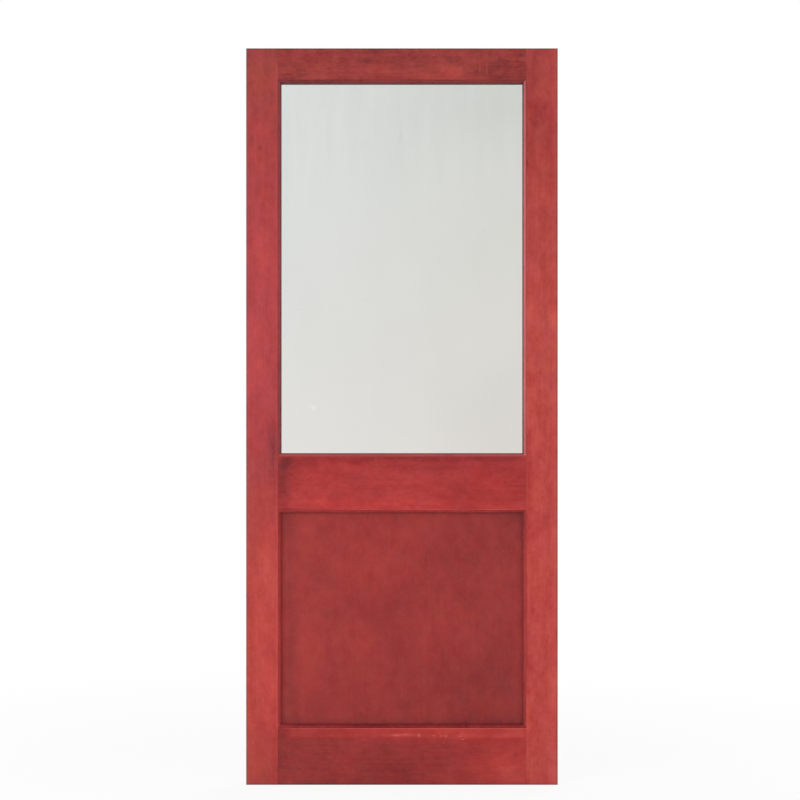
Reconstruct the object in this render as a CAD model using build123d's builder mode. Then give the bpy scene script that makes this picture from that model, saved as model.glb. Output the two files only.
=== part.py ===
"""A half-glazed timber door leaf, 1981 x 838 x 44 mm.

Two stiles and three rails are joined by blind haunched tenons. The lower opening holds a flat
board let into a groove. The upper opening holds one sheet of glass, which stands on setting
blocks between two rubber seals. Mitred ovolo mouldings are planted round both openings, on the
front and on the back.

Millimetres. X runs across the leaf from the hinge edge (X = 0) to the lock edge, Y from the front
face to the back face with Y = 0 in the middle of the thickness, and Z up from the foot.
"""

import os

from build123d import *

os.makedirs("parts", exist_ok=True)

# Leaf
leaf_width = 838.0
leaf_height = 1981.0
leaf_thickness = 44.0
arris_radius = 1.0

# Frame members, each by the width of its face
stile_width = 85.0
top_rail_width = 84.0
lock_rail_width = 144.0
bottom_rail_width = 153.0
panel_opening_height = 586.0

# Blind tenons
tenon_thickness = 14.0
tenon_length = 58.0
haunch_length = 12.0
haunch_width = 26.0
twin_tenon_gap = 24.0
tenon_shoulder = 6.0
glue_gap = 0.1
mortise_end_gap = 2.0

# Lower panel
panel_thickness = 12.0
groove_depth = 10.0
panel_edge_gap = 1.5

# Glass, its seals and its setting blocks
glass_thickness = 6.0
glass_edge_gap = 4.0
seal_thickness = 1.5
seal_lip = 0.4
block_length = 80.0
block_inset = 120.0

# Mouldings, by the profile that shows beside the pane
moulding_width = 8.0
moulding_setback = 1.5
moulding_top_flat = 1.2
moulding_step = 0.8
ovolo_radius = 6.0

# Levels and places that follow from the sizes above
stile_edge_left = stile_width
stile_edge_right = leaf_width - stile_width
opening_width = stile_edge_right - stile_edge_left
panel_foot = bottom_rail_width
panel_head = panel_foot + panel_opening_height
glass_foot = panel_head + lock_rail_width
glass_head = leaf_height - top_rail_width

# The plane in the middle of the thickness, facing the front, with X across the leaf and Z up it
middle_plane = Plane(origin=(0, 0, 0), x_dir=(1, 0, 0), z_dir=(0, -1, 0))


def upright_rectangle(low_x, high_x, low_z, high_z):
    """A rectangle in a front-facing plane, between two places across the leaf and two heights."""
    with Locations(((low_x + high_x) / 2, (low_z + high_z) / 2)):
        return Rectangle(high_x - low_x, high_z - low_z)


def finish(piece, name):
    """Label a finished piece and write it to its own file."""
    piece.part.label = name
    export_step(piece.part, f"parts/{name}.step")


# The frame is eased as one after glue-up, so its arrises run round each opening and stop nowhere
with BuildPart() as frame_blank:
    with BuildSketch(middle_plane):
        upright_rectangle(0, leaf_width, 0, leaf_height)
    extrude(amount=leaf_thickness / 2, both=True)
    with BuildSketch(middle_plane):
        upright_rectangle(stile_edge_left, stile_edge_right, panel_foot, panel_head)
        upright_rectangle(stile_edge_left, stile_edge_right, glass_foot, glass_head)
    extrude(amount=leaf_thickness / 2, both=True, mode=Mode.SUBTRACT)
    faces_out = frame_blank.faces().filter_by(Axis.Y).group_by(Axis.Y)
    fillet((faces_out[0] + faces_out[-1]).edges(), arris_radius)


def joint_outline(side, tenons, sloped_to, room, end_room):
    """Draw one rail end in the middle plane: its tenons, the stub between them and the haunch.

    side is -1 at the left stile and 1 at the right one. tenons lists the lowest and highest level
    of each tenon. sloped_to is the level where a hidden haunch runs out, or None.
    """
    shoulder = stile_edge_left if side < 0 else stile_edge_right
    for low, high in tenons:
        tip = shoulder + side * (tenon_length + end_room)
        upright_rectangle(min(shoulder, tip), max(shoulder, tip), low - room, high + room)
    lowest = tenons[0][0]
    highest = tenons[-1][1]
    stub = shoulder + side * (haunch_length + end_room)
    upright_rectangle(min(shoulder, stub), max(shoulder, stub), lowest - room, highest + room)
    if sloped_to is not None:
        root = highest if sloped_to > highest else lowest
        Polygon((shoulder, root), (stub, root), (shoulder, sloped_to), align=None)


def twin_tenons(low, high):
    """The two tenons that share a wide rail, with a gap between them."""
    middle = (low + high) / 2
    return [(low, middle - twin_tenon_gap / 2), (middle + twin_tenon_gap / 2, high)]


# Each rail: its name, its foot and head, its tenons, and where its haunch slopes to
rails = [
    (
        "bottom_rail",
        0,
        panel_foot,
        twin_tenons(haunch_width, panel_foot - groove_depth),
        0,
    ),
    (
        "lock_rail",
        panel_head,
        glass_foot,
        twin_tenons(panel_head + groove_depth, glass_foot - tenon_shoulder),
        None,
    ),
    (
        "top_rail",
        glass_head,
        leaf_height,
        [(glass_head + tenon_shoulder, leaf_height - haunch_width)],
        leaf_height,
    ),
]


# The space that is ploughed out of the frame for the lower panel
with BuildPart() as panel_groove:
    with BuildSketch(middle_plane):
        upright_rectangle(
            stile_edge_left - groove_depth,
            stile_edge_right + groove_depth,
            panel_foot - groove_depth,
            panel_head + groove_depth,
        )
    extrude(amount=panel_thickness / 2, both=True)


def make_stile(name, side, low_x, high_x):
    """A stile, with a mortise for each rail and its length of the panel's groove."""
    with BuildPart() as stile:
        add(frame_blank.part)
        with BuildSketch(middle_plane):
            upright_rectangle(low_x, high_x, 0, leaf_height)
        extrude(amount=leaf_thickness, both=True, mode=Mode.INTERSECT)
        for _, _, _, tenons, sloped_to in rails:
            with BuildSketch(middle_plane):
                joint_outline(side, tenons, sloped_to, glue_gap, mortise_end_gap)
            extrude(
                amount=tenon_thickness / 2 + glue_gap, both=True, mode=Mode.SUBTRACT
            )
        add(panel_groove.part, mode=Mode.SUBTRACT)
    finish(stile, name)


def make_rail(name, foot, head, tenons, sloped_to):
    """A rail between the stiles, with its tenons and its length of the panel's groove."""
    with BuildPart() as rail:
        add(frame_blank.part)
        with BuildSketch(middle_plane):
            upright_rectangle(stile_edge_left, stile_edge_right, foot, head)
        extrude(amount=leaf_thickness, both=True, mode=Mode.INTERSECT)
        add(panel_groove.part, mode=Mode.SUBTRACT)
        for side in (-1, 1):
            with BuildSketch(middle_plane):
                joint_outline(side, tenons, sloped_to, 0, 0)
            extrude(amount=tenon_thickness / 2, both=True)
    finish(rail, name)


make_stile("left_stile", -1, 0, stile_edge_left)
make_stile("right_stile", 1, stile_edge_right, leaf_width)
for rail in rails:
    make_rail(*rail)

# The lower panel lies in its groove with room to move at its edges
panel_tongue = groove_depth - panel_edge_gap
with BuildPart() as lower_panel:
    with BuildSketch(middle_plane):
        upright_rectangle(
            stile_edge_left - panel_tongue,
            stile_edge_right + panel_tongue,
            panel_foot - panel_tongue,
            panel_head + panel_tongue,
        )
    extrude(amount=panel_thickness / 2, both=True)
finish(lower_panel, "lower_panel")

# The glass stands on its setting blocks and is clear of the frame all round
with BuildPart() as glass_pane:
    with BuildSketch(middle_plane):
        upright_rectangle(
            stile_edge_left + glass_edge_gap,
            stile_edge_right - glass_edge_gap,
            glass_foot + glass_edge_gap,
            glass_head - glass_edge_gap,
        )
    extrude(amount=glass_thickness / 2, both=True)
finish(glass_pane, "glass_pane")

with BuildPart() as setting_blocks:
    with BuildSketch(middle_plane):
        for middle in (stile_edge_left + block_inset, stile_edge_right - block_inset):
            upright_rectangle(
                middle - block_length / 2,
                middle + block_length / 2,
                glass_foot,
                glass_foot + glass_edge_gap,
            )
    extrude(amount=glass_thickness / 2, both=True)
finish(setting_blocks, "setting_blocks")


def make_seal(name, facing):
    """A seal round the glass, whose lip shows past the mouldings. facing is -1 front, 1 back."""
    glass_face = facing * glass_thickness / 2
    glass_plane = Plane(origin=(0, glass_face, 0), x_dir=(1, 0, 0), z_dir=(0, -1, 0))
    with BuildPart() as seal:
        with BuildSketch(glass_plane):
            upright_rectangle(stile_edge_left, stile_edge_right, glass_foot, glass_head)
            offset(amount=-moulding_width - seal_lip, kind=Kind.INTERSECTION, mode=Mode.SUBTRACT)
        extrude(amount=-facing * seal_thickness)
    finish(seal, name)


make_seal("front_glazing_seal", -1)
make_seal("back_glazing_seal", 1)


def make_moulding(name, corner_to_corner, outer_edge_middle, inward, outward, stand):
    """One length of ovolo moulding with mitred ends.

    corner_to_corner is its length along the opening, outer_edge_middle the middle of its outer
    back edge, inward points over the pane, outward at the viewer, and stand is its height.
    """
    along = inward.cross(outward)
    section = Plane(origin=outer_edge_middle, x_dir=inward, z_dir=along)
    back = Plane(origin=outer_edge_middle, x_dir=along, z_dir=outward)
    round_top = stand - moulding_step
    round_foot = round_top - ovolo_radius
    with BuildPart() as moulding:
        with BuildSketch(section):
            with BuildLine():
                outer = Polyline(
                    (0, 0), (0, stand), (moulding_top_flat, stand), (moulding_top_flat, round_top)
                )
                ovolo = CenterArc(
                    center=(moulding_top_flat, round_foot),
                    radius=ovolo_radius,
                    start_angle=90,
                    arc_size=-90,
                )
                Polyline(ovolo @ 1, (moulding_width, round_foot), (moulding_width, 0), outer @ 0)
            make_face()
        extrude(amount=corner_to_corner / 2, both=True)
        # The mitres run at 45 degrees from the corners of the opening, past the inner edge
        reach = 2 * moulding_width
        half = corner_to_corner / 2
        with BuildSketch(back):
            with BuildLine():
                Polyline(
                    (-half, 0), (half, 0), (half - reach, reach), (reach - half, reach), close=True
                )
            make_face()
        extrude(amount=stand, mode=Mode.INTERSECT)
    finish(moulding, name)


def make_moulding_set(face_name, outward_sign, opening_name, foot, head, pane_half):
    """The four mouldings round one opening on one face of the leaf."""
    outward = Vector(0, outward_sign, 0)
    stand = leaf_thickness / 2 - pane_half - moulding_setback
    seat = outward_sign * pane_half
    middle_x = (stile_edge_left + stile_edge_right) / 2
    middle_z = (foot + head) / 2
    runs = [
        ("left", head - foot, Vector(stile_edge_left, seat, middle_z), Vector(1, 0, 0)),
        ("right", head - foot, Vector(stile_edge_right, seat, middle_z), Vector(-1, 0, 0)),
        ("bottom", opening_width, Vector(middle_x, seat, foot), Vector(0, 0, 1)),
        ("top", opening_width, Vector(middle_x, seat, head), Vector(0, 0, -1)),
    ]
    for side_name, length, middle, inward in runs:
        name = f"{face_name}_{opening_name}_moulding_{side_name}"
        make_moulding(name, length, middle, inward, outward, stand)


for face_name, outward_sign in (("front", -1), ("back", 1)):
    make_moulding_set(
        face_name,
        outward_sign,
        "glass",
        glass_foot,
        glass_head,
        glass_thickness / 2 + seal_thickness,
    )
    make_moulding_set(
        face_name, outward_sign, "panel", panel_foot, panel_head, panel_thickness / 2
    )
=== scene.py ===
"""The look of the half-glazed door leaf: stained timber, clear glass, soft studio light.

Metres, in the leaf's own frame: X across from the hinge edge, Y from front to back, Z up.
"""

import math

import bmesh
import bpy
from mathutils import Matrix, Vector


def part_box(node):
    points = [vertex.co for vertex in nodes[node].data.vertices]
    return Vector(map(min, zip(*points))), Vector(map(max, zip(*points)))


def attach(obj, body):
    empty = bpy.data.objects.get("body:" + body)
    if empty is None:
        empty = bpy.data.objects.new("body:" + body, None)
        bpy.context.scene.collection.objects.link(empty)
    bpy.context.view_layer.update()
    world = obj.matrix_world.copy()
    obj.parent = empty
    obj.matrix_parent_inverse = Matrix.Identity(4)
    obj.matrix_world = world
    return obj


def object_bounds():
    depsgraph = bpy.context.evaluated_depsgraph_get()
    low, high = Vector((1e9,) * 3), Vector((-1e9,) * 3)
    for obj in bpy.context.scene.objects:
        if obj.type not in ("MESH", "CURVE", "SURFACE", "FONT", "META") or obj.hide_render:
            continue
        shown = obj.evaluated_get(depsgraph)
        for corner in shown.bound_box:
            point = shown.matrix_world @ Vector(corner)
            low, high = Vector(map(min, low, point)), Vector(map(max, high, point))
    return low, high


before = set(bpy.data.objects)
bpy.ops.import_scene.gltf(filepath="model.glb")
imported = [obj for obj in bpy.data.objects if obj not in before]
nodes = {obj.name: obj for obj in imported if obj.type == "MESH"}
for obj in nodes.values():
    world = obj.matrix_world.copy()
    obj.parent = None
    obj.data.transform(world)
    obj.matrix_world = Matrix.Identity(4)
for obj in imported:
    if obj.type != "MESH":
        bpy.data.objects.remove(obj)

cad_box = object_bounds()

# Places on the leaf, read from the frame
LEAF_LOW, LEAF_HIGH = cad_box
LEAF_HEIGHT = LEAF_HIGH.z - LEAF_LOW.z
LEAF_MIDDLE = (LEAF_LOW.x + LEAF_HIGH.x) / 2
STILE_EDGE_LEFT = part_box("left_stile")[1].x
STILE_EDGE_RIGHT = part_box("right_stile")[0].x
GLASS_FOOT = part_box("front_glass_moulding_bottom")[0].z
GLASS_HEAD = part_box("front_glass_moulding_top")[1].z
PANEL_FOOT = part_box("front_panel_moulding_bottom")[0].z
PANEL_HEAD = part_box("front_panel_moulding_top")[1].z
MOULDING_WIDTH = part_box("front_panel_moulding_left")[1].x - STILE_EDGE_LEFT
MOULDING_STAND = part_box("back_panel_moulding_left")[1].y

# Each opening in the frame by its foot and head
OPENINGS = {"glass": (GLASS_FOOT, GLASS_HEAD), "panel": (PANEL_FOOT, PANEL_HEAD)}

# The section of a moulding: a flat, a step down, then a quarter round
MOULDING_FLAT = 0.0012
MOULDING_STEP = 0.0008
MOULDING_ROUND = 0.0060

# The photograph: 800 pixels a side, the leaf 736.6 pixels high with its foot at row 784.9
PHOTO_SIDE = 800
PHOTO_LEAF_HEIGHT = 736.6
PHOTO_FOOT_ROW = 784.9
PHOTO_LEAF_MIDDLE_COLUMN = 401.95
CAMERA_DISTANCE = 4.6
METRES_PER_PIXEL = LEAF_HEIGHT / PHOTO_LEAF_HEIGHT

# Light levels: the world and the lamps together light the front of the leaf at about 1
WORLD_LIGHT = 0.55
# Each lamp: its name, its place, its width and height, and its power
LAMPS = [
    ("key", (-1.9, -2.6, 1.5), 1.6, 2.0, 64.0),
    ("fill", (3.2, -2.8, 1.6), 2.0, 2.0, 20.0),
    ("back_light", (2.6, 3.2, 1.9), 2.0, 2.0, 70.0),
]
# The back mouldings are duller, so that little of them shows through the glass
BACK_GLOSS = 0.08

# Stain tones from the heaviest to the thinnest, as linear colours
STAIN = [
    (0.00, (0.070, 0.0075, 0.0100)),
    (0.25, (0.170, 0.0105, 0.0125)),
    (0.50, (0.295, 0.0155, 0.0155)),
    (0.75, (0.415, 0.0220, 0.0195)),
    (1.00, (0.560, 0.0450, 0.0360)),
]
# Lacquer that stands on the stain and greys it, over pinker and over yellower wood
COOL_HAZE = (0.55, 0.34, 0.43)
WARM_HAZE = (0.55, 0.39, 0.27)


class Nodes:
    """A node tree, built a node at a time."""

    def __init__(self, tree):
        self.tree = tree
        self.tree.nodes.clear()

    def add(self, kind, **settings):
        node = self.tree.nodes.new(kind)
        for key, value in settings.items():
            setattr(node, key, value)
        return node

    def feed(self, socket, value):
        """Link a socket into an input, or set the input's own value."""
        if isinstance(value, bpy.types.NodeSocket):
            self.tree.links.new(value, socket)
        else:
            socket.default_value = value

    def math(self, operation, a, b=0.0, c=0.0, clamp=False):
        node = self.add("ShaderNodeMath", operation=operation, use_clamp=clamp)
        for socket, value in zip(node.inputs, (a, b, c)):
            self.feed(socket, value)
        return node.outputs[0]

    def vector(self, operation, a, b=(0.0, 0.0, 0.0), out="Vector"):
        node = self.add("ShaderNodeVectorMath", operation=operation)
        self.feed(node.inputs[0], a)
        self.feed(node.inputs[1], b)
        return node.outputs[out]

    def axis(self, vector, letter):
        node = self.add("ShaderNodeSeparateXYZ")
        self.feed(node.inputs[0], vector)
        return node.outputs[letter]

    def noise(self, place, scales, detail=2.0, roughness=0.5, seed=0.0):
        """Noise about zero, with as many features a metre along each axis as scales says."""
        stretched = self.vector("MULTIPLY", place, scales)
        node = self.add("ShaderNodeTexNoise", noise_dimensions="4D")
        self.feed(node.inputs["Vector"], stretched)
        node.inputs["W"].default_value = seed
        node.inputs["Scale"].default_value = 1.0
        node.inputs["Detail"].default_value = detail
        node.inputs["Roughness"].default_value = roughness
        return self.math("SUBTRACT", node.outputs[0], 0.5)

    def between(self, value, low, high):
        """0 below low, 1 above high and smooth between them. low may be the larger."""
        node = self.add("ShaderNodeMapRange", interpolation_type="SMOOTHSTEP")
        flipped = low > high
        self.feed(node.inputs["Value"], value)
        node.inputs["From Min"].default_value = min(low, high)
        node.inputs["From Max"].default_value = max(low, high)
        node.inputs["To Min"].default_value = 1.0 if flipped else 0.0
        node.inputs["To Max"].default_value = 0.0 if flipped else 1.0
        return node.outputs[0]

    def ramp(self, value, stops):
        """A colour ramp. Each stop is a place from 0 to 1 and a colour."""
        node = self.add("ShaderNodeValToRGB")
        elements = node.color_ramp.elements
        while len(elements) < len(stops):
            elements.new(0.5)
        for element, (at, colour) in zip(elements, stops):
            element.position = at
            element.color = (*colour, 1.0)
        self.feed(node.inputs[0], value)
        return node.outputs[0]

    def curve(self, value, points):
        """A number that follows points of (value, result), in straight runs."""
        low, high = points[0][0], points[-1][0]
        span = self.math("MULTIPLY_ADD", value, 1 / (high - low), -low / (high - low))
        least = min(result for _, result in points)
        most = max(result for _, result in points)
        stops = []
        for at, result in points:
            level = (result - least) / (most - least)
            stops.append(((at - low) / (high - low), (level, level, level)))
        grey = self.ramp(span, stops)
        return self.math("MULTIPLY_ADD", grey, most - least, least)

    def mix(self, share, first, second):
        node = self.add("ShaderNodeMix", data_type="RGBA")
        self.feed(node.inputs["Factor"], share)
        for name, colour in (("A", first), ("B", second)):
            socket = next(s for s in node.inputs if s.name == name and s.type == "RGBA")
            self.feed(socket, colour if isinstance(colour, bpy.types.NodeSocket) else (*colour, 1.0))
        return next(s for s in node.outputs if s.type == "RGBA")

    def total(self, *terms):
        """The sum of pairs of a number and its weight."""
        total = 0.0
        for value, weight in terms:
            total = self.math("MULTIPLY_ADD", value, weight, total)
        return total

    def seen(self):
        """1 for what the camera sees straight, in gloss or through glass, and 0 for other light."""
        rays = self.add("ShaderNodeLightPath")
        seen = self.math("MAXIMUM", rays.outputs["Is Camera Ray"], rays.outputs["Is Glossy Ray"])
        return self.math("MAXIMUM", seen, rays.outputs["Is Transmission Ray"])


class Shader(Nodes):
    """A new material, with the place and the normal of each point that it covers."""

    def __init__(self, name):
        self.material = bpy.data.materials.new(name)
        self.material.use_nodes = True
        super().__init__(self.material.node_tree)
        self.output = self.add("ShaderNodeOutputMaterial")
        coordinates = self.add("ShaderNodeTexCoord")
        self.place = coordinates.outputs["Object"]
        self.normal = coordinates.outputs["Normal"]

    def draw_patches(self, marks, start=0.0):
        """Soft oval marks added up: each is x, z, half width, half height and amount."""
        total = start
        for x, z, half_width, half_height, amount in marks:
            away = self.vector("SUBTRACT", self.place, (x, 0.0, z))
            away = self.vector("MULTIPLY", away, (1 / half_width, 0.0, 1 / half_height))
            square = self.vector("DOT_PRODUCT", away, away, out="Value")
            soft = self.math("EXPONENT", self.math("MULTIPLY", square, -1.0))
            total = self.math("MULTIPLY_ADD", soft, amount, total)
        return total

    def line(self, axis, at, half, low, high, soft=0.02):
        """A thin line of half width half, square to axis, that fades in at low and out at high."""
        other = "Z" if axis == "X" else "X"
        across = self.math("ABSOLUTE", self.math("SUBTRACT", self.axis(self.place, axis), at))
        along = self.axis(self.place, other)
        width = self.between(across, 1.5 * half, 0.5 * half)
        start = self.between(along, low - soft, low + soft)
        stop = self.between(along, high + soft, high - soft)
        return self.math("MULTIPLY", width, self.math("MULTIPLY", start, stop))

    def draw_lines(self, lines, start):
        """Lines added up: each is what line takes, then its amount."""
        total = start
        for *place, amount in lines:
            total = self.math("MULTIPLY_ADD", self.line(*place), amount, total)
        return total

    def principled(self, **inputs):
        node = self.add("ShaderNodeBsdfPrincipled")
        for key, value in inputs.items():
            self.feed(node.inputs[key.replace("_", " ")], value)
        return node

    def mix_shaders(self, share, first, second):
        node = self.add("ShaderNodeMixShader")
        self.feed(node.inputs[0], share)
        self.feed(node.inputs[1], first.outputs[0])
        self.feed(node.inputs[2], second.outputs[0])
        return node

    def surface(self, shader):
        """Use a shader node as the material's surface, and give the material."""
        self.feed(self.output.inputs["Surface"], shader.outputs[0])
        return self.material


def grain_scales(upright, across, along):
    """Noise scales for a grain that runs up the leaf, or across it."""
    return (across, across, along) if upright else (along, across, across)


def end_grain(s, wander):
    """Tone of sawn ends: wood that drinks more stain, with growth rings about the tree's heart."""
    heart = (STILE_EDGE_LEFT / 2, 0.16, 0.0)
    rings_per_metre = 210.0
    ring_bend = 30.0
    ring_tone = 0.06
    end_tone = -0.22
    end = s.between(s.math("ABSOLUTE", s.axis(s.normal, "Z")), 0.90, 0.98)
    from_heart = s.vector("SUBTRACT", s.vector("MULTIPLY", s.place, (1.0, 1.0, 0.0)), heart)
    reach = s.vector("LENGTH", from_heart, out="Value")
    turns = s.math("MULTIPLY", reach, 2.0 * math.pi * rings_per_metre)
    rings = s.math("SINE", s.math("MULTIPLY_ADD", wander, ring_bend, turns))
    return s.math("MULTIPLY", end, s.math("MULTIPLY_ADD", rings, ring_tone, end_tone))


def timber(
    name,
    upright,
    seed,
    level,
    haze=0.03,
    warmth=0.3,
    bloom=0.12,
    marks=(),
    lines=(),
    seams=(),
    mists=(),
    shade=None,
    mottle=1.0,
    fibres=1.0,
    along=1.0,
    gloss=0.3,
):
    """Stained and lacquered timber.

    upright says that the grain runs up the leaf. level is the stain's tone, from 0 heavy to 1
    thin. haze is the share of lacquer that shows, warmth its hue, from 0 pink to 1 yellow, as a
    number or a function of the shader, and bloom how much thicker it is where the stain is thin.
    On the front face marks are soft patches of tone, lines thin lines of tone and mists soft
    patches of haze. seams are lines on every face, and shade adds the tone that changes along the
    piece, as a function of the shader. mottle and fibres are the strengths of the coarse and the
    fine figure, a larger along makes the blotches shorter along the grain, and gloss is the
    strength of its reflections.
    """
    s = Shader(name)
    # Clouds and blotches are pushed aside a little, so that they don't look like plain noise
    wander = s.noise(s.place, (9.0, 9.0, 9.0), detail=2.0, seed=seed + 7.0)
    push = s.vector("MULTIPLY", (1.0, 0.0, -1.0), s.math("MULTIPLY", wander, 0.03))
    warped = s.vector("ADD", s.place, push)

    cloud = s.noise(warped, grain_scales(upright, 8.0, 4.0 * along), detail=2.0, seed=seed)
    blotch = s.noise(warped, grain_scales(upright, 34.0, 20.0 * along), 3.0, 0.6, seed + 1.0)
    speck = s.noise(s.place, grain_scales(upright, 110.0, 70.0 * along), 2.0, 0.6, seed + 5.0)
    streak = s.noise(s.place, grain_scales(upright, 85.0, 3.5), 4.0, 0.65, seed + 2.0)
    fibre = s.noise(s.place, grain_scales(upright, 420.0, 12.0), 3.0, 0.6, seed + 3.0)
    pores = s.noise(s.place, grain_scales(upright, 1500.0, 60.0), 1.0, 0.5, seed + 4.0)
    pore_marks = s.between(pores, 0.13, 0.2)

    clouds = s.total((cloud, 0.60 * mottle), (blotch, 0.42 * mottle))
    figure = s.total(
        (speck, 0.22 * fibres),
        (streak, 0.18 * fibres),
        (fibre, 0.15 * fibres),
        (pore_marks, -0.05 * fibres),
    )
    tone = s.math("ADD", s.math("ADD", clouds, figure), level)
    if shade:
        tone = s.math("ADD", tone, shade(s))

    tone = s.draw_lines(seams, tone)
    # The piece's own marks, lines and mists lie in its front half, on what faces the front
    front_half = s.between(s.axis(s.place, "Y"), 0.004, -0.004)
    facing = s.between(s.axis(s.normal, "Y"), -0.05, -0.35)
    front = s.math("MULTIPLY", front_half, facing)
    own = s.math("MULTIPLY", s.draw_lines(lines, s.draw_patches(marks)), front)
    tone = s.math("ADD", tone, own)
    if upright:
        tone = s.math("ADD", tone, end_grain(s, wander))

    colour = s.ramp(tone, STAIN)
    # Lacquer sinks into dark stains, and looks milky where a hard scuff has thinned the stain
    hard_scuff = 0.18
    stained = s.math("MINIMUM", own, 0.0)
    scuffed = s.math("MAXIMUM", s.math("SUBTRACT", own, hard_scuff), 0.0)
    cast = s.noise(warped, (30.0, 30.0, 24.0), 4.0, 0.65, seed + 6.0)
    veil = s.total(
        (cast, 0.07), (scuffed, 0.30), (s.math("ADD", clouds, stained), bloom), (figure, 0.34)
    )
    veil = s.math("MULTIPLY_ADD", s.draw_patches(mists), front, veil)
    veil = s.math("ADD", veil, haze, clamp=True)
    hue = s.noise(warped, (22.0, 22.0, 16.0), 3.0, 0.6, seed + 8.0)
    warm = warmth(s) if callable(warmth) else warmth
    veil_tint = s.mix(s.math("MULTIPLY_ADD", hue, 2.4, warm, clamp=True), COOL_HAZE, WARM_HAZE)
    colour = s.mix(veil, colour, veil_tint)
    roughness = s.math("ADD", s.total((blotch, 0.18), (fibre, 0.25)), 0.46)
    height = s.total((fibre, 0.5), (streak, 0.6), (pore_marks, -0.5))
    bump = s.add("ShaderNodeBump")
    bump.inputs["Strength"].default_value = 0.25
    bump.inputs["Distance"].default_value = 0.0004
    s.feed(bump.inputs["Height"], height)
    body = s.principled(
        Base_Color=colour,
        Roughness=roughness,
        Specular_IOR_Level=gloss,
        Normal=bump.outputs[0],
    )
    return s.surface(body)


def rim(s):
    """Darker along the leaf's outer arrises, but not in the middle of its edges."""
    heavy_until = 0.0026
    gone_at = 0.0040
    tone = 0.0
    # Each edge: its axis and place, which way the leaf lies from it, and the tone
    edges = [
        ("X", LEAF_LOW.x, 1, -0.32),
        ("X", LEAF_HIGH.x, -1, -0.44),
        ("Z", LEAF_LOW.z, 1, -0.34),
        ("Z", LEAF_HIGH.z, -1, -0.25),
    ]
    for axis, edge, inward, amount in edges:
        away = s.math("MULTIPLY", s.math("SUBTRACT", s.axis(s.place, axis), edge), inward)
        heavy = s.math("MULTIPLY", s.between(away, gone_at, heavy_until), amount)
        tone = s.math("MINIMUM", tone, heavy)
    off_middle = s.math("ABSOLUTE", s.axis(s.place, "Y"))
    return s.math("MULTIPLY", tone, s.between(off_middle, 0.0185, 0.0210))


def stile_shade(heights, outer_edge, outer_tone):
    """Tone up the height of a stile, as (height, tone), and in a strip along its outer edge."""
    strip = 0.020

    def shade(s):
        tone = s.math("ADD", s.curve(s.axis(s.place, "Z"), heights), rim(s))
        away = s.math("ABSOLUTE", s.math("SUBTRACT", s.axis(s.place, "X"), outer_edge))
        return s.math("MULTIPLY_ADD", s.between(away, strip, strip / 2), outer_tone, tone)

    return shade


def end_joints(foot, head):
    """The hairlines where a rail meets the two stiles."""
    half = 0.0005
    return [
        ("X", STILE_EDGE_LEFT + half, half, foot, head, -0.22),
        ("X", STILE_EDGE_RIGHT - half, half, foot, head, -0.22),
    ]


def glass():
    """Clear float glass, faintly tinted, with a painted reflection: cooler at its head, browner at
    its foot.
    """
    s = Shader("pane_glass")
    drift = s.noise(s.place, (5.0, 5.0, 3.0), detail=4.0, seed=3.0)
    streaks = s.noise(s.place, (26.0, 26.0, 4.0), detail=3.0, seed=4.0)
    x = s.axis(s.place, "X")
    z = s.axis(s.place, "Z")
    near_head = s.between(z, 1.45, 1.80)
    marks = [
        # Broad clouds
        (0.690, 1.840, 0.200, 0.110, -0.054),
        (0.440, 1.800, 0.110, 0.120, -0.014),
        (0.700, 0.930, 0.150, 0.130, -0.030),
        (0.640, 1.050, 0.120, 0.110, -0.026),
        (0.180, 1.560, 0.110, 0.230, 0.018),
        (0.330, 1.600, 0.050, 0.200, -0.008),
        # A curl of wiped dirt
        (0.416, 1.745, 0.006, 0.022, -0.030),
        (0.320, 1.727, 0.012, 0.008, -0.024),
        (0.283, 1.736, 0.008, 0.010, 0.024),
        # Dust specks
        (0.661, 1.636, 0.003, 0.003, -0.060),
        (0.640, 1.494, 0.003, 0.003, -0.070),
        (0.619, 1.391, 0.003, 0.003, -0.060),
        (0.495, 1.566, 0.003, 0.003, -0.040),
        (0.320, 1.306, 0.003, 0.003, -0.060),
        (0.139, 1.279, 0.003, 0.003, -0.060),
        (0.682, 1.091, 0.003, 0.003, -0.040),
        # A thumb smudge
        (0.180, 1.014, 0.005, 0.007, 0.080),
        (0.168, 1.018, 0.006, 0.003, 0.035),
    ]
    uneven = s.total(
        (drift, 0.065), (streaks, 0.016), (s.math("MULTIPLY", streaks, near_head), 0.090)
    )
    uneven = s.math("ADD", s.draw_patches(marks, uneven), 1.0)
    # Red, green and blue mid pane, and their change a metre across and up, which is painted
    # reflection
    channels = [(0.693, -0.062, -0.070), (0.695, -0.080, -0.032), (0.666, -0.106, -0.022)]
    tint = s.add("ShaderNodeCombineColor")
    middle_x = (STILE_EDGE_LEFT + STILE_EDGE_RIGHT) / 2
    middle_z = (GLASS_FOOT + GLASS_HEAD) / 2
    for socket, (level, reflection_per_x, reflection_per_z) in zip(tint.inputs, channels):
        plain = level - reflection_per_x * middle_x - reflection_per_z * middle_z
        value = s.math("ADD", s.total((x, reflection_per_x), (z, reflection_per_z)), plain)
        s.feed(socket, s.math("MULTIPLY", value, uneven))
    body = s.principled(Base_Color=tint.outputs[0], Roughness=0.02, IOR=1.4, Transmission_Weight=1.0)
    # Light falls straight through the pane, and takes on its tint
    clear = s.add("ShaderNodeBsdfTransparent")
    s.feed(clear.inputs[0], tint.outputs[0])
    rays = s.add("ShaderNodeLightPath")
    return s.surface(s.mix_shaders(rays.outputs["Is Shadow Ray"], body, clear))


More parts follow.
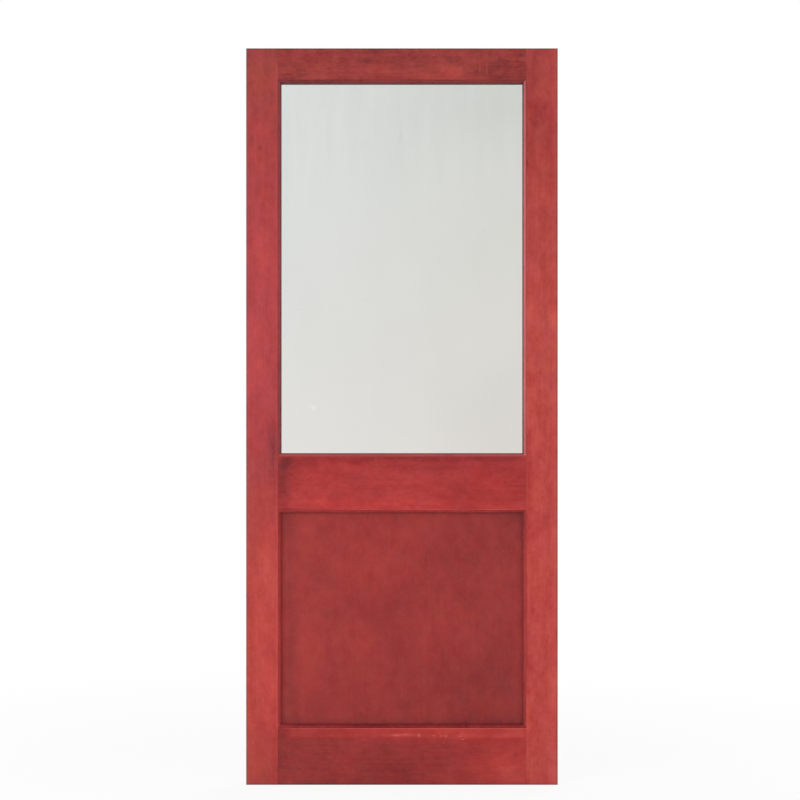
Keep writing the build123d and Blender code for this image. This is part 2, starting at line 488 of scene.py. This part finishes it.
def rubber():
    """The seal between the glass and its mouldings, dark and stained over with the wood."""
    s = Shader("seal_rubber")
    dust = s.noise(s.place, (140.0, 140.0, 140.0), detail=3.0, seed=5.0)
    colour = s.ramp(
        s.math("ADD", dust, 0.5), [(0.35, (0.040, 0.010, 0.011)), (0.7, (0.100, 0.028, 0.028))]
    )
    return s.surface(s.principled(Base_Color=colour, Roughness=0.65, Specular_IOR_Level=0.1))


def moulding_wood(name, edge_axis, edge, inward, section, **look):
    """Moulding timber, whose tone changes across its section: stain, and painted light and shade.

    edge is where its outer edge lies along edge_axis, and inward is 1 or -1, towards the pane.
    section lists shares of the width and the tone there. look goes on to timber.
    """

    def shade(s):
        across = s.math("SUBTRACT", s.axis(s.place, edge_axis), edge)
        across = s.math("MULTIPLY", across, inward / MOULDING_WIDTH)
        return s.curve(across, section)

    return timber(name, edge_axis == "X", shade=shade, mottle=0.8, **look)


def dress(node, material):
    """Put one material on all the slots of a CAD node."""
    mesh = nodes[node].data
    if not mesh.materials:
        mesh.materials.append(material)
    for index in range(len(mesh.materials)):
        mesh.materials[index] = material


# In the functions below a mark is x, z, half width, half height and tone, a mist is the same with
# haze for tone, and a line is the axis that it crosses, its place, its half width, its two ends
# and its tone


def dress_left_stile():
    heights = [
        (0.00, -0.03),
        (0.24, 0.11),
        (0.39, 0.17),
        (0.52, 0.07),
        (0.66, 0.00),
        (0.87, -0.06),
        (1.13, -0.02),
        (1.40, 0.03),
        (1.70, -0.06),
        (1.98, -0.22),
    ]
    marks = [
        # Two dark specks near the head, and a dark smudge where the lock rail meets the stile
        (0.016, 1.733, 0.006, 0.014, -0.14),
        (0.038, 1.714, 0.004, 0.005, -0.20),
        (0.074, 0.880, 0.018, 0.080, -0.28),
        # Broad patches
        (0.016, 1.450, 0.018, 0.220, -0.08),
        (0.016, 0.940, 0.014, 0.080, 0.14),
        (0.030, 1.760, 0.040, 0.030, 0.07),
        (0.046, 1.440, 0.010, 0.070, 0.07),
        (0.045, 0.420, 0.016, 0.110, 0.06),
        (0.030, 0.580, 0.026, 0.030, -0.08),
        (0.050, 0.640, 0.020, 0.060, 0.06),
        (0.060, 0.300, 0.020, 0.080, 0.06),
        (0.045, 0.105, 0.022, 0.050, -0.08),
        (0.074, 0.130, 0.012, 0.040, -0.08),
        (0.012, 0.195, 0.014, 0.040, 0.07),
        (0.045, 1.560, 0.016, 0.040, 0.07),
        (0.020, 1.930, 0.020, 0.040, -0.06),
        (0.060, 1.860, 0.026, 0.035, -0.05),
        (0.072, 1.632, 0.012, 0.030, -0.06),
        (0.052, 0.460, 0.026, 0.080, 0.05),
        (0.028, 0.046, 0.030, 0.030, 0.06),
    ]
    # Pale lines on the inner arrises: stain worn thin, and painted light lifting the arris's shade
    lines = [
        ("X", STILE_EDGE_LEFT - 0.0014, 0.0014, PANEL_FOOT, PANEL_HEAD, 0.18),
        ("X", STILE_EDGE_LEFT - 0.0014, 0.0014, GLASS_FOOT, GLASS_HEAD, 0.12),
    ]

    def warmth(s):
        """Yellower at the foot and the head, and pinker between them."""
        hues = [(0.0, 0.75), (0.60, 0.75), (0.90, 0.30), (1.25, -0.15), (1.50, 0.10), (1.98, 0.90)]
        return s.curve(s.axis(s.place, "Z"), hues)

    look = timber(
        "left_stile_timber",
        upright=True,
        seed=11.0,
        level=0.68,
        haze=0.072,
        warmth=warmth,
        marks=marks,
        mists=[
            (0.001, 1.100, 0.004, 4.000, 0.060),
            (0.040, 1.400, 0.060, 0.260, 0.010),
            (0.016, 0.850, 0.012, 0.080, 0.012),
            (0.076, 0.120, 0.010, 0.160, -0.030),
            (0.050, 0.200, 0.024, 0.090, -0.018),
            (0.060, 0.700, 0.026, 0.120, -0.014),
            (0.010, 0.060, 0.014, 0.060, 0.016),
        ],
        lines=lines,
        shade=stile_shade(heights, LEAF_LOW.x, -0.02),
        fibres=0.85,
    )
    dress("left_stile", look)


def dress_right_stile():
    heights = [
        (0.00, 0.12),
        (0.18, 0.13),
        (0.28, 0.09),
        (0.50, 0.12),
        (0.80, 0.03),
        (1.05, 0.15),
        (1.24, 0.16),
        (1.36, 0.02),
        (1.47, -0.05),
        (1.65, -0.03),
        (1.82, -0.03),
        (1.98, -0.15),
    ]
    marks = [
        # Dark blotches above mid height, a dark strip by the lock rail and a worn pale spot
        (0.790, 1.640, 0.012, 0.020, -0.10),
        (0.805, 1.530, 0.010, 0.030, -0.10),
        (0.798, 1.425, 0.016, 0.050, -0.15),
        (0.775, 1.780, 0.020, 0.008, -0.08),
        (0.762, 0.860, 0.012, 0.120, -0.13),
        (0.824, 1.255, 0.014, 0.040, 0.17),
        # Broad patches
        (0.826, 0.900, 0.012, 0.140, 0.05),
        (0.826, 0.420, 0.012, 0.110, 0.06),
        (0.765, 1.765, 0.012, 0.030, 0.07),
        (0.762, 0.240, 0.012, 0.060, 0.05),
        (0.800, 0.600, 0.020, 0.060, 0.05),
        (0.790, 0.160, 0.030, 0.060, 0.04),
        (0.772, 1.940, 0.016, 0.026, -0.08),
        (0.764, 1.330, 0.014, 0.040, -0.06),
        (0.764, 0.165, 0.012, 0.060, 0.06),
        (0.798, 0.125, 0.012, 0.030, -0.08),
        (0.7545, 0.210, 0.003, 0.060, 0.14),
        (0.797, 1.858, 0.018, 0.030, 0.06),
        (0.822, 1.632, 0.014, 0.030, -0.06),
        (0.824, 0.960, 0.014, 0.060, 0.06),
        (0.771, 0.653, 0.014, 0.030, 0.06),
        (0.815, 0.405, 0.022, 0.050, 0.05),
    ]
    # The two long dark lines by the mouldings are painted shade in the step at the arris
    lines = [
        ("X", STILE_EDGE_RIGHT + 0.0014, 0.0014, PANEL_FOOT, PANEL_HEAD, -0.10),
        ("X", STILE_EDGE_RIGHT + 0.0006, 0.0006, GLASS_FOOT, GLASS_HEAD, -0.20),
        ("X", STILE_EDGE_RIGHT + 0.0025, 0.0012, 1.662, 1.682, -0.35),
    ]
    look = timber(
        "right_stile_timber",
        upright=True,
        seed=23.0,
        level=0.70,
        haze=0.066,
        warmth=0.75,
        bloom=0.24,
        marks=marks,
        mists=[
            (0.837, 1.100, 0.004, 4.000, 0.040),
            (0.828, 1.000, 0.012, 0.900, 0.014),
            (0.800, 1.120, 0.050, 0.150, 0.034),
            (0.812, 1.250, 0.026, 0.040, 0.046),
            (0.790, 0.040, 0.050, 0.030, 0.018),
            (0.765, 1.190, 0.014, 0.050, 0.020),
            (0.790, 1.760, 0.050, 0.040, 0.020),
            (0.795, 1.858, 0.030, 0.030, 0.018),
            (0.822, 1.100, 0.016, 0.160, 0.014),
            (0.797, 0.770, 0.016, 0.060, -0.018),
            (0.765, 0.700, 0.014, 0.200, -0.020),
            (0.826, 0.040, 0.016, 0.060, 0.024),
        ],
        lines=lines,
        shade=stile_shade(heights, LEAF_HIGH.x, 0.05),
        mottle=1.15,
        fibres=0.95,
    )
    dress("right_stile", look)


def dress_top_rail():
    marks = [
        # Two dark dents at the right, a scuffed patch, two short scratches and a pale streak
        (0.738, 1.962, 0.008, 0.004, -0.30),
        (0.734, 1.944, 0.010, 0.002, -0.14),
        (0.554, 1.920, 0.032, 0.013, 0.20),
        (0.530, 1.923, 0.006, 0.008, 0.12),
        (0.573, 1.926, 0.005, 0.006, 0.10),
        (0.629, 1.924, 0.002, 0.013, 0.20),
        (0.648, 1.925, 0.002, 0.013, 0.18),
        (0.190, 1.925, 0.030, 0.004, 0.14),
        # Broad patches
        (0.130, 1.935, 0.040, 0.040, -0.07),
        (0.530, 1.950, 0.045, 0.018, -0.08),
        (0.350, 1.925, 0.060, 0.012, 0.14),
        (0.680, 1.940, 0.110, 0.035, -0.13),
        (0.455, 1.962, 0.045, 0.009, -0.09),
        (0.690, 1.905, 0.070, 0.010, -0.07),
        (0.130, 1.948, 0.034, 0.008, 0.09),
        (0.375, 1.955, 0.035, 0.010, 0.06),
        (0.575, 1.920, 0.080, 0.010, -0.06),
        # Darker and paler stretches along the glass opening; the dark ones are painted shadow under
        # the rail
        (0.112, 1.899, 0.032, 0.004, -0.20),
        (0.130, 1.905, 0.050, 0.010, -0.10),
        (0.430, 1.903, 0.090, 0.008, 0.09),
        (0.690, 1.8985, 0.040, 0.003, -0.12),
    ]
    lines = [("Z", GLASS_HEAD + 0.0014, 0.0014, 0.09, 0.75, 0.14)]
    look = timber(
        "top_rail_timber",
        upright=False,
        seed=31.0,
        level=0.42,
        haze=0.051,
        warmth=1.0,
        bloom=0.16,
        marks=marks,
        mists=[(0.330, 1.930, 0.130, 0.030, 0.008), (0.720, 1.920, 0.050, 0.040, -0.010)],
        lines=lines,
        seams=end_joints(GLASS_HEAD, LEAF_HIGH.z),
        shade=rim,
        fibres=1.2,
    )
    dress("top_rail", look)


def dress_lock_rail():
    marks = [
        # The dark smudge at the left end, then a dark speck and a dark streak
        (0.104, 0.866, 0.024, 0.017, -0.24),
        (0.096, 0.805, 0.026, 0.075, -0.36),
        (0.150, 0.866, 0.035, 0.012, -0.18),
        (0.174, 0.828, 0.003, 0.003, -0.22),
        (0.288, 0.867, 0.018, 0.005, -0.18),
        # Broad patches and streaks
        (0.420, 0.872, 0.220, 0.022, -0.09),
        (0.195, 0.832, 0.045, 0.016, 0.10),
        (0.211, 0.763, 0.050, 0.012, 0.12),
        (0.115, 0.742, 0.035, 0.004, -0.18),
        (0.420, 0.760, 0.300, 0.012, 0.12),
        (0.670, 0.800, 0.090, 0.045, 0.10),
        (0.695, 0.745, 0.060, 0.012, 0.13),
        (0.612, 0.842, 0.030, 0.022, 0.08),
        (0.300, 0.868, 0.040, 0.012, -0.08),
        (0.733, 0.804, 0.025, 0.003, -0.18),
        (0.130, 0.842, 0.035, 0.012, -0.08),
        (0.480, 0.844, 0.060, 0.014, -0.07),
        (0.660, 0.818, 0.080, 0.014, 0.07),
        (0.375, 0.785, 0.060, 0.035, 0.04),
        (0.530, 0.855, 0.036, 0.012, -0.07),
        (0.400, 0.749, 0.320, 0.006, 0.06),
        (0.250, 0.790, 0.050, 0.018, 0.05),
        (0.690, 0.742, 0.045, 0.010, 0.06),
    ]
    lines = [
        ("Z", GLASS_FOOT - 0.006, 0.0060, 0.09, 0.745, -0.10),
        ("Z", PANEL_HEAD + 0.0014, 0.0014, 0.24, 0.72, 0.18),
        ("Z", PANEL_HEAD + 0.0060, 0.0008, 0.24, 0.48, 0.16),
    ]
    look = timber(
        "lock_rail_timber",
        upright=False,
        seed=43.0,
        level=0.64,
        haze=0.036,
        marks=marks,
        mists=[
            (0.095, 0.800, 0.024, 0.070, 0.012),
            (0.104, 0.853, 0.018, 0.016, 0.022),
            (0.295, 0.865, 0.040, 0.020, -0.016),
        ],
        lines=lines,
        seams=end_joints(PANEL_HEAD, GLASS_FOOT),
        shade=rim,
        mottle=1.1,
        fibres=0.75,
    )
    dress("lock_rail", look)


def dress_bottom_rail():
    def shade(s):
        """Paler towards the lock edge."""
        tone_per_metre = 0.26
        across = s.math("SUBTRACT", s.axis(s.place, "X"), LEAF_MIDDLE)
        return s.math("MULTIPLY_ADD", across, tone_per_metre, rim(s))

    marks = [
        # Pale chips and scuffs near the head of the rail, one with a dark rim, and a dark dent
        (0.315, 0.121, 0.010, 0.0020, 0.26),
        (0.403, 0.1335, 0.009, 0.0022, 0.34),
        (0.428, 0.1360, 0.006, 0.0020, 0.16),
        (0.430, 0.1345, 0.034, 0.0016, 0.14),
        (0.465, 0.1335, 0.0035, 0.0050, 0.26),
        (0.505, 0.1330, 0.004, 0.0026, 0.18),
        (0.520, 0.1395, 0.006, 0.0020, 0.16),
        (0.524, 0.1315, 0.004, 0.0026, 0.20),
        (0.5375, 0.1315, 0.003, 0.0032, 0.22),
        (0.533, 0.1130, 0.006, 0.0014, 0.26),
        (0.5785, 0.1370, 0.003, 0.0032, 0.16),
        (0.575, 0.1300, 0.005, 0.0015, 0.28),
        (0.582, 0.1226, 0.005, 0.0019, 0.28),
        (0.582, 0.1275, 0.003, 0.0015, -0.22),
        (0.724, 0.080, 0.006, 0.006, -0.26),
        # Broad patches
        (0.700, 0.060, 0.080, 0.080, 0.16),
        (0.715, 0.020, 0.060, 0.030, 0.12),
        (0.120, 0.020, 0.040, 0.030, 0.08),
        (0.600, 0.121, 0.220, 0.013, 0.10),
        (0.450, 0.100, 0.070, 0.024, 0.07),
        (0.110, 0.128, 0.040, 0.010, 0.08),
        (0.430, 0.050, 0.090, 0.040, -0.10),
        (0.215, 0.085, 0.045, 0.030, -0.06),
        (0.130, 0.143, 0.050, 0.008, 0.06),
        (0.540, 0.143, 0.040, 0.007, 0.06),
        # Thinner stain round the chips
        (0.401, 0.129, 0.010, 0.010, 0.06),
        (0.465, 0.132, 0.004, 0.010, 0.09),
        (0.536, 0.134, 0.006, 0.009, 0.08),
        (0.585, 0.131, 0.008, 0.009, 0.08),
    ]
    lines = [
        ("Z", PANEL_FOOT - 0.0014, 0.0014, 0.09, 0.76, 0.20),
        ("Z", PANEL_FOOT - 0.012, 0.014, 0.11, 0.76, 0.24),
    ]
    look = timber(
        "bottom_rail_timber",
        upright=False,
        seed=57.0,
        level=0.46,
        haze=0.027,
        warmth=0.75,
        marks=marks,
        mists=[
            (0.720, 0.020, 0.070, 0.035, 0.030),
            (0.120, 0.020, 0.050, 0.035, 0.014),
            (0.480, 0.142, 0.320, 0.009, -0.018),
            (0.600, 0.139, 0.130, 0.012, -0.016),
        ],
        lines=lines,
        seams=end_joints(LEAF_LOW.z, PANEL_FOOT),
        shade=shade,
        mottle=0.9,
        fibres=0.65,
    )
    dress("bottom_rail", look)


def dress_panel():
    def shade(s):
        """Paler to the left and head; painted shade by the mouldings, painted light by the left one.
        """
        x = s.axis(s.place, "X")
        z = s.axis(s.place, "Z")
        lean = s.total((x, -0.13), (z, 0.06))
        # Painted shade near each moulding, where it shades the sunk panel, and painted light that
        # lifts the shadow at the left moulding's foot
        soft = 0.035
        left = s.between(x, STILE_EDGE_LEFT + 2.0 * soft, STILE_EDGE_LEFT + 0.8 * soft)
        painted_light_strip = s.between(x, STILE_EDGE_LEFT + 0.5 * soft, STILE_EDGE_LEFT + 0.25 * soft)
        right = s.between(x, STILE_EDGE_RIGHT - soft, STILE_EDGE_RIGHT)
        bottom = s.between(z, PANEL_FOOT + soft, PANEL_FOOT)
        top = s.between(z, PANEL_HEAD - soft, PANEL_HEAD)
        edges = [(left, -0.11), (painted_light_strip, 0.20), (right, -0.08), (bottom, -0.13), (top, -0.08)]
        return s.total(*edges, (lean, 1.0))

    marks = [
        # Three hairline scratches, and a drop of stain by the bottom moulding
        (0.545, 0.355, 0.090, 0.001, 0.04),
        (0.585, 0.526, 0.070, 0.001, 0.04),
        (0.500, 0.378, 0.060, 0.001, -0.04),
        (0.592, 0.166, 0.002, 0.005, -0.16),
        # Broad patches; the pale ones by the side mouldings are painted light lifting the shade
        # there
        (0.590, 0.660, 0.060, 0.060, -0.02),
        (0.540, 0.400, 0.090, 0.060, 0.05),
        (0.185, 0.340, 0.060, 0.120, 0.07),
        (0.740, 0.400, 0.030, 0.190, 0.12),
        (0.104, 0.450, 0.016, 0.070, 0.07),
        (0.735, 0.720, 0.040, 0.025, -0.08),
        (0.600, 0.178, 0.060, 0.022, -0.02),
        (0.103, 0.300, 0.007, 0.090, 0.10),
        (0.427, 0.565, 0.034, 0.030, 0.04),
        (0.427, 0.210, 0.034, 0.030, -0.07),
        (0.185, 0.490, 0.034, 0.030, 0.06),
        (0.347, 0.490, 0.034, 0.030, 0.04),
        (0.508, 0.250, 0.050, 0.034, 0.06),
        (0.560, 0.645, 0.060, 0.028, 0.04),
        (0.126, 0.403, 0.020, 0.034, -0.05),
        (0.427, 0.700, 0.040, 0.020, -0.06),
        (0.126, 0.704, 0.024, 0.020, -0.07),
        (0.266, 0.690, 0.040, 0.040, -0.04),
    ]
    look = timber(
        "panel_board_timber",
        upright=True,
        seed=61.0,
        level=0.51,
        haze=0.034,
        warmth=0.75,
        marks=marks,
        mists=[(0.180, 0.470, 0.060, 0.300, 0.014), (0.620, 0.170, 0.100, 0.040, -0.014)],
        shade=shade,
        mottle=0.66,
        fibres=0.4,
        along=1.45,
    )
    dress("lower_panel", look)


def moulding_looks():
    """How each moulding looks, by its opening and side. The glass mouldings' levels and hazes are
    painted light and shade: those that face the light are paler than those that face away.

    A section lists shares of the width from the outer edge to the pane, and the tone there:
    stain, with painted highlight and shade across the profile.
    """
    plain_section = [(0.0, -0.04), (0.15, 0.0), (0.30, 0.03), (0.60, 0.0), (0.92, 0.02), (1.0, 0.04)]
    return {
        # Faces away from the light: its low level is painted shade
        "glass_left": {
            "level": 0.42,
            "haze": 0.090,
            "section": [
                (0.0, -0.12),
                (0.15, -0.09),
                (0.35, -0.02),
                (0.75, 0.0),
                (0.92, -0.10),
                (1.0, -0.14),
            ],
        },
        # Faces the light: a painted highlight on its round, and painted shade by the pane
        "glass_right": {
            "level": 0.94,
            "haze": 0.180,
            "gloss": 0.85,
            "section": [
                (0.0, -0.12),
                (0.30, -0.10),
                (0.42, 0.04),
                (0.64, 0.06),
                (0.72, -0.44),
                (1.0, -0.70),
            ],
            "marks": [
                (0.749, 1.880, 0.020, 0.070, -0.22),
                (0.749, 1.740, 0.020, 0.070, -0.09),
                (0.749, 0.940, 0.020, 0.090, -0.13),
            ],
        },
        # Faces up to the light: its level is painted light, and the dark by the pane painted shade
        "glass_bottom": {
            "level": 0.64,
            "haze": 0.085,
            "gloss": 0.40,
            "section": [
                (0.0, -0.04),
                (0.15, 0.0),
                (0.30, 0.03),
                (0.80, 0.0),
                (0.92, -0.30),
                (1.0, -0.34),
            ],
        },
        # Faces down, away from the light: its low level is painted shade
        "glass_top": {
            "level": 0.29,
            "haze": 0.040,
            "section": [
                (0.0, -0.03),
                (0.15, 0.02),
                (0.30, 0.01),
                (0.62, -0.02),
                (0.80, 0.09),
                (1.0, 0.04),
            ],
        },
        # Paler at its edges: painted light lifting the shade in the step and at the foot
        "panel_left": {
            "level": 0.60,
            "haze": 0.050,
            "section": [
                (0.0, 0.18),
                (0.20, 0.16),
                (0.38, -0.07),
                (0.60, -0.02),
                (0.85, 0.22),
                (1.0, 0.32),
            ],
            "marks": [
                (0.089, 0.710, 0.010, 0.040, -0.14),
                (0.089, 0.180, 0.010, 0.060, -0.14),
            ],
        },
        # Its dark inner part is painted shade at the moulding's foot
        "panel_right": {
            "level": 0.50,
            "haze": 0.046,
            "section": [
                (0.0, 0.04),
                (0.15, 0.09),
                (0.34, 0.10),
                (0.44, -0.05),
                (0.92, -0.06),
                (1.0, 0.0),
            ],
            "marks": [(0.748, 0.680, 0.006, 0.060, -0.10)],
        },
        "panel_bottom": {
            "level": 0.37,
            "haze": 0.029,
            "warmth": 0.0,
            "gloss": 0.16,
            "section": plain_section,
            "marks": [(0.592, 0.157, 0.003, 0.006, -0.22), (0.521, 0.159, 0.004, 0.003, -0.14)],
        },
        "panel_top": {
            "level": 0.50,
            "haze": 0.026,
            "gloss": 0.25,
            "section": plain_section,
        },
    }


def dress_mouldings():
    looks = moulding_looks()
    seed = 70.0
    for face in ("front", "back"):
        for opening, (foot, head) in OPENINGS.items():
            sides = {
                "left": ("X", STILE_EDGE_LEFT, 1),
                "right": ("X", STILE_EDGE_RIGHT, -1),
                "bottom": ("Z", foot, 1),
                "top": ("Z", head, -1),
            }
            for side, (edge_axis, edge, inward) in sides.items():
                seed += 1.0
                look = dict(looks[f"{opening}_{side}"])
                if face == "back":
                    look["gloss"] = BACK_GLOSS
                node = f"{face}_{opening}_moulding_{side}"
                dress(node, moulding_wood(node, edge_axis, edge, inward, seed=seed, **look))


def wax():
    """The coloured wax that fills a pin hole."""
    s = Shader("pin_wax")
    dirt = s.noise(s.place, (900.0, 900.0, 900.0), detail=2.0, seed=6.0)
    tone = s.math("MULTIPLY_ADD", dirt, 0.3, 0.12)
    return s.surface(s.principled(Base_Color=s.ramp(tone, STAIN), Roughness=0.5))


def add_pin(shape, middle, outward, across):
    """A low dome of wax on a moulding, about outward, with across as a direction in its plane."""
    radius = 0.0010
    sides = 14
    # Each ring is a share of the radius and how far it stands out
    rings = [(1.0, -0.00020), (0.95, -0.00002), (0.60, 0.00008)]
    tip_stand = 0.00011
    up = outward.cross(across)
    loops = []
    for share, stand in rings:
        loop = []
        for step in range(sides):
            turn = 2.0 * math.pi * step / sides
            spoke = across * math.cos(turn) + up * math.sin(turn)
            loop.append(shape.verts.new(middle + outward * stand + spoke * radius * share))
        loops.append(loop)
    tip = shape.verts.new(middle + outward * tip_stand)
    for lower, upper in zip(loops[:-1], loops[1:]):
        for step in range(sides):
            after = (step + 1) % sides
            shape.faces.new((lower[step], lower[after], upper[after], upper[step]))
    for step in range(sides):
        shape.faces.new((loops[-1][step], loops[-1][(step + 1) % sides], tip))
    shape.faces.new(list(reversed(loops[0])))


def add_pins(face, outward, opening, foot, head, material):
    """The filled pin holes of the four mouldings round one opening, as one mesh."""
    margin = 0.045
    pitch = 0.116
    # The pins stand in the middle of the quarter round
    reach = MOULDING_ROUND / math.sqrt(2.0)
    inset = MOULDING_FLAT + reach
    stand = MOULDING_STAND - MOULDING_STEP - MOULDING_ROUND + reach
    low_corner = Vector((STILE_EDGE_LEFT, 0.0, foot))
    high_corner = Vector((STILE_EDGE_RIGHT, 0.0, head))
    across = Vector((1.0, 0.0, 0.0))
    up = Vector((0.0, 0.0, 1.0))
    # Each moulding: the corner where it starts, its way along, its way inward and its length
    runs = [
        (low_corner, up, across, head - foot),
        (high_corner, -up, -across, head - foot),
        (low_corner, across, up, STILE_EDGE_RIGHT - STILE_EDGE_LEFT),
        (high_corner, -across, -up, STILE_EDGE_RIGHT - STILE_EDGE_LEFT),
    ]
    shape = bmesh.new()
    for start, along, inward, length in runs:
        gaps = round((length - 2 * margin) / pitch)
        for index in range(gaps + 1):
            at = margin + (length - 2 * margin) * index / gaps
            middle = start + along * at + inward * inset + outward * stand
            add_pin(shape, middle, (inward + outward).normalized(), along)
    bmesh.ops.recalc_face_normals(shape, faces=shape.faces)
    mesh = bpy.data.meshes.new(f"{face}_{opening}_pins")
    shape.to_mesh(mesh)
    shape.free()
    for polygon in mesh.polygons:
        polygon.use_smooth = True
    mesh.materials.append(material)
    pins = bpy.data.objects.new(mesh.name, mesh)
    bpy.context.scene.collection.objects.link(pins)
    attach(pins, "root")


def add_all_pins():
    material = wax()
    for face, outward in (("front", Vector((0, -1, 0))), ("back", Vector((0, 1, 0)))):
        for opening, (foot, head) in OPENINGS.items():
            add_pins(face, outward, opening, foot, head, material)


def dress_glazing():
    dress("glass_pane", glass())
    seal = rubber()
    for node in ("front_glazing_seal", "back_glazing_seal", "setting_blocks"):
        dress(node, seal)


def floor_paint():
    """Pale paint that the camera sees as near white, and whose shadows fade away from the leaf."""
    s = Shader("floor_paint")
    leaf_foot = (LEAF_MIDDLE, 0.0, LEAF_LOW.z)
    near = 0.8
    far = 2.4
    plain = s.add("ShaderNodeBsdfDiffuse")
    plain.inputs["Color"].default_value = (0.82, 0.82, 0.82, 1.0)
    white = s.add("ShaderNodeEmission")
    white.inputs["Strength"].default_value = 1.0
    from_leaf = s.vector("LENGTH", s.vector("SUBTRACT", s.place, leaf_foot), out="Value")
    whiteness = s.math("MULTIPLY_ADD", s.between(from_leaf, near, far), 0.10, 0.90)
    return s.surface(s.mix_shaders(s.math("MULTIPLY", s.seen(), whiteness), plain, white))


def add_floor():
    """A pale floor under the leaf, far wider than the view."""
    half_side = 30.0
    corners = [
        (-half_side, -half_side, 0.0),
        (half_side, -half_side, 0.0),
        (half_side, half_side, 0.0),
        (-half_side, half_side, 0.0),
    ]
    mesh = bpy.data.meshes.new("floor")
    mesh.from_pydata(corners, [], [(0, 1, 2, 3)])
    mesh.materials.append(floor_paint())
    floor = bpy.data.objects.new("floor", mesh)
    bpy.context.scene.collection.objects.link(floor)


def add_world():
    """White behind the leaf, and a softer white as the light that falls on it."""
    world = bpy.data.worlds.new("studio")
    bpy.context.scene.world = world
    world.use_nodes = True
    w = Nodes(world.node_tree)
    output = w.add("ShaderNodeOutputWorld")
    background = w.add("ShaderNodeBackground")
    background.inputs["Color"].default_value = (1.0, 1.0, 1.0, 1.0)
    strength = w.math("MULTIPLY_ADD", w.seen(), 1.0 - WORLD_LIGHT, WORLD_LIGHT)
    w.feed(background.inputs["Strength"], strength)
    w.feed(output.inputs["Surface"], background.outputs[0])


def add_lamps():
    """Soft rectangular lamps that face the middle of the leaf."""
    target = Vector((LEAF_MIDDLE, 0.0, LEAF_HEIGHT / 2))
    for name, place, width, height, power in LAMPS:
        data = bpy.data.lights.new(name, "AREA")
        data.shape = "RECTANGLE"
        data.size = width
        data.size_y = height
        data.energy = power
        lamp = bpy.data.objects.new(name, data)
        bpy.context.scene.collection.objects.link(lamp)
        # Gloss and glass show the white studio, and no lamp stands in it as a bright square
        lamp.visible_glossy = False
        lamp.visible_transmission = False
        lamp.location = place
        lamp.rotation_euler = (target - Vector(place)).to_track_quat("-Z", "Y").to_euler()


def add_camera():
    """A straight front view: the leaf's image stands where it does in the photograph."""
    half_view = METRES_PER_PIXEL * PHOTO_SIDE / 2
    across = LEAF_MIDDLE + (PHOTO_SIDE / 2 - PHOTO_LEAF_MIDDLE_COLUMN) * METRES_PER_PIXEL
    up = LEAF_LOW.z + (PHOTO_FOOT_ROW - PHOTO_SIDE / 2) * METRES_PER_PIXEL
    data = bpy.data.cameras.new("camera")
    data.sensor_width = 36.0
    data.lens = data.sensor_width * CAMERA_DISTANCE / (2 * half_view)
    camera = bpy.data.objects.new("camera", data)
    bpy.context.scene.collection.objects.link(camera)
    camera.location = (across, LEAF_LOW.y - CAMERA_DISTANCE, up)
    camera.rotation_euler = (math.pi / 2, 0.0, 0.0)
    bpy.context.scene.camera = camera


dress_left_stile()
dress_right_stile()
dress_top_rail()
dress_lock_rail()
dress_bottom_rail()
dress_panel()
dress_mouldings()
dress_glazing()
add_all_pins()
add_floor()
add_world()
add_lamps()
add_camera()
bpy.context.scene.view_settings.view_transform = "Standard"
